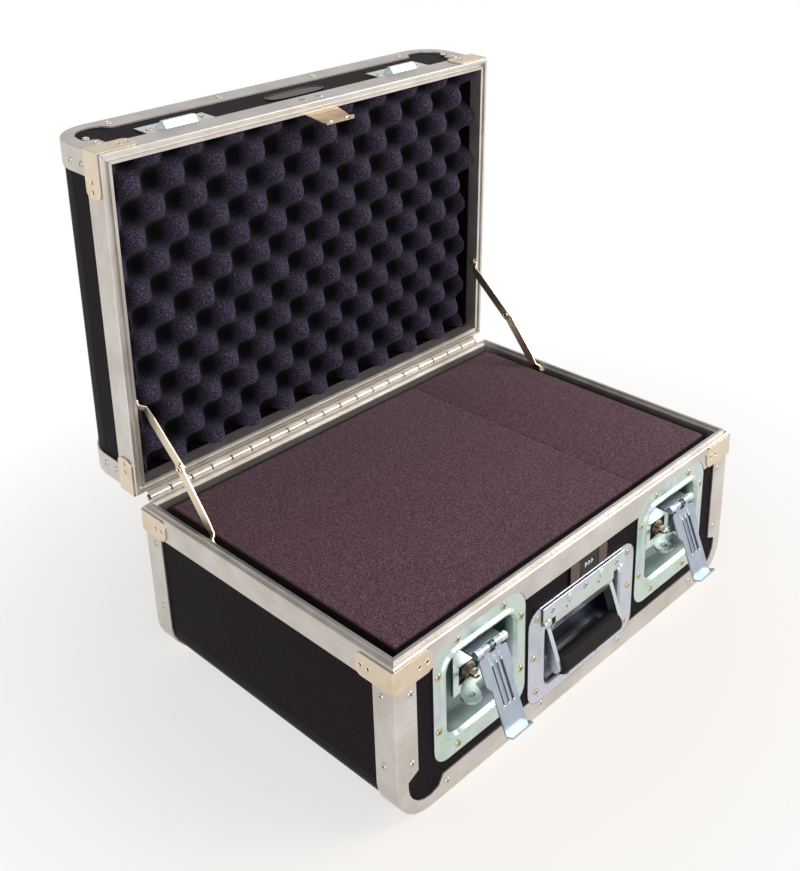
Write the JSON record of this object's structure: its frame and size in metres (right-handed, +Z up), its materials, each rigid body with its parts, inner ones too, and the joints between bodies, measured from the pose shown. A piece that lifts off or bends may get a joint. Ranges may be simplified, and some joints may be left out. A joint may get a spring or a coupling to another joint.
{
  "type": "latching case",
  "caption": "Hard shipping case with aluminium edging, a hinged lid held open by folding stays, recessed twist latches, a drop handle, a dial lock and foam linings.",
  "frame": {"origin": "on the ground, under the middle of the lower leg of the front edging", "axes": "+Z up, -Y towards the front with the latches and the handle, +X to the case's own left-to-right as seen from the front"},
  "size_m": [0.511, 0.5009, 0.538],
  "materials": {
    "laminate": "plywood under a dark brown-black pebbled laminate",
    "aluminium": "satin mill finish",
    "nickel_steel": "warm nickel plate",
    "zinc_steel": "bright bluish zinc plate",
    "spring_steel": "bronzed spring wire",
    "rubber": "matte",
    "foam": "open-cell foam",
    "black_plastic": "satin"
  },
  "bodies": {
    "base": {"base_wrap": "laminate", "base_front_panel": "laminate", "base_back_panel": "laminate", "base_front_edging": "aluminium", "base_back_edging": "aluminium", "base_front_rim": "aluminium", "base_back_rim": "aluminium", "base_left_rim": "aluminium", "base_right_rim": "aluminium", "base_front_left_cap": "nickel_steel", "base_front_right_cap": "nickel_steel", "base_back_left_cap": "nickel_steel", "base_back_right_cap": "nickel_steel", "left_latch_dish": "zinc_steel", "right_latch_dish": "zinc_steel", "handle_dish": "zinc_steel", "handle_cover": "zinc_steel", "lock_housing": "black_plastic", "hinge_leaf_base": "aluminium", "foam_block_left": "foam", "foam_block_right": "foam", "foam_liner_front": "foam", "foam_liner_back": "foam"},
    "lid": {"lid_wrap": "laminate", "lid_front_panel": "laminate", "lid_back_panel": "laminate", "lid_front_edging": "aluminium", "lid_back_edging": "aluminium", "lid_front_rim": "aluminium", "lid_back_rim": "aluminium", "lid_left_rim": "aluminium", "lid_right_rim": "aluminium", "lid_front_left_cap": "nickel_steel", "lid_front_right_cap": "nickel_steel", "lid_back_left_cap": "nickel_steel", "lid_back_right_cap": "nickel_steel", "left_keeper": "zinc_steel", "right_keeper": "zinc_steel", "lid_catch_tab": "nickel_steel", "hinge_leaf_lid": "aluminium", "lid_foam": "foam"},
    "handle": {"handle_bail": "zinc_steel", "handle_grip": "rubber"},
    "left_stay_lower": {"left_stay_lower": "nickel_steel"},
    "left_stay_upper": {"left_stay_upper": "nickel_steel"},
    "right_stay_lower": {"right_stay_lower": "nickel_steel"},
    "right_stay_upper": {"right_stay_upper": "nickel_steel"},
    "dial_1": {"lock_dial_1": "black_plastic"},
    "dial_2": {"lock_dial_2": "black_plastic"},
    "dial_3": {"lock_dial_3": "black_plastic"},
    "left_latch_slide": {"left_latch_carrier": "zinc_steel", "left_latch_spring": "spring_steel"},
    "left_latch_hasp": {"left_latch_arm": "zinc_steel"},
    "left_latch_spindle": {"left_latch_cam": "zinc_steel"},
    "left_latch_wing": {"left_latch_wing": "zinc_steel"},
    "right_latch_slide": {"right_latch_carrier": "zinc_steel", "right_latch_spring": "spring_steel"},
    "right_latch_hasp": {"right_latch_arm": "zinc_steel"},
    "right_latch_spindle": {"right_latch_cam": "zinc_steel"},
    "right_latch_wing": {"right_latch_wing": "zinc_steel"}
  },
  "joints": [
    {"name": "lid_hinge", "type": "hinge", "parent": "base", "child": "lid", "pos_m": [0, 0.3441, 0.17405], "axis": [1, 0, 0], "range_deg": [0, 88]},
    {"name": "left_stay_foot", "type": "hinge", "parent": "base", "child": "left_stay_lower", "pos_m": [-0.2424, 0.2378, 0.1678], "axis": [1, 0, 0], "range_deg": [0, 124.79]},
    {"name": "left_stay_centre", "type": "hinge", "parent": "left_stay_lower", "child": "left_stay_upper", "pos_m": [-0.2368, 0.28702, 0.22863], "axis": [1, 0, 0], "range_deg": [-162.06, 0]},
    {"name": "right_stay_foot", "type": "hinge", "parent": "base", "child": "right_stay_lower", "pos_m": [0.2424, 0.2378, 0.1678], "axis": [1, 0, 0], "range_deg": [0, 124.79]},
    {"name": "right_stay_centre", "type": "hinge", "parent": "right_stay_lower", "child": "right_stay_upper", "pos_m": [0.2368, 0.28702, 0.22863], "axis": [1, 0, 0], "range_deg": [-162.06, 0]},
    {"name": "handle_pivot", "type": "hinge", "parent": "base", "child": "handle", "pos_m": [0, -0.0024, 0.0938], "axis": [-1, 0, 0], "range_deg": [0, 72]},
    {"name": "dial_1_spin", "type": "hinge", "parent": "base", "child": "dial_1", "pos_m": [0.0024, -0.0049, 0.13655], "axis": [1, 0, 0], "continuous": true},
    {"name": "dial_2_spin", "type": "hinge", "parent": "base", "child": "dial_2", "pos_m": [0.007, -0.0049, 0.13655], "axis": [1, 0, 0], "continuous": true},
    {"name": "dial_3_spin", "type": "hinge", "parent": "base", "child": "dial_3", "pos_m": [0.0116, -0.0049, 0.13655], "axis": [1, 0, 0], "continuous": true},
    {"name": "left_latch_turn", "type": "hinge", "parent": "base", "child": "left_latch_spindle", "pos_m": [-0.1478, -0.0109, 0.0953], "axis": [0, 1, 0], "range_deg": [0, 180]},
    {"name": "left_latch_draw", "type": "slide", "parent": "base", "child": "left_latch_slide", "axis": [0, 0, 1], "range_m": [-0.00601, 0]},
    {"name": "left_hasp_swing", "type": "hinge", "parent": "left_latch_slide", "child": "left_latch_hasp", "pos_m": [-0.1478, -0.0229, 0.1393], "axis": [-1, 0, 0], "range_deg": [0, 157.6]},
    {"name": "left_wing_fold", "type": "hinge", "parent": "left_latch_spindle", "child": "left_latch_wing", "pos_m": [-0.1478, -0.0049, 0.0953], "axis": [1, 0, 0], "range_deg": [-90, 0]},
    {"name": "right_latch_turn", "type": "hinge", "parent": "base", "child": "right_latch_spindle", "pos_m": [0.1478, -0.0109, 0.0953], "axis": [0, 1, 0], "range_deg": [0, 180]},
    {"name": "right_latch_draw", "type": "slide", "parent": "base", "child": "right_latch_slide", "axis": [0, 0, 1], "range_m": [-0.00601, 0]},
    {"name": "right_hasp_swing", "type": "hinge", "parent": "right_latch_slide", "child": "right_latch_hasp", "pos_m": [0.1478, -0.0229, 0.1393], "axis": [-1, 0, 0], "range_deg": [0, 157.6]},
    {"name": "right_wing_fold", "type": "hinge", "parent": "right_latch_spindle", "child": "right_latch_wing", "pos_m": [0.1478, -0.0049, 0.0953], "axis": [1, 0, 0], "range_deg": [-90, 0]}
  ],
  "couplings": [
    {"joint": "left_stay_foot", "follows": "lid_hinge", "ratio": 1.4178},
    {"joint": "left_stay_centre", "follows": "lid_hinge", "ratio": -1.8414},
    {"joint": "right_stay_foot", "follows": "lid_hinge", "ratio": 1.4178},
    {"joint": "right_stay_centre", "follows": "lid_hinge", "ratio": -1.8414},
    {"joint": "left_latch_draw", "follows": "left_latch_turn", "m_per_rad": -0.0019099},
    {"joint": "right_latch_draw", "follows": "right_latch_turn", "m_per_rad": -0.0019099}
  ]
}
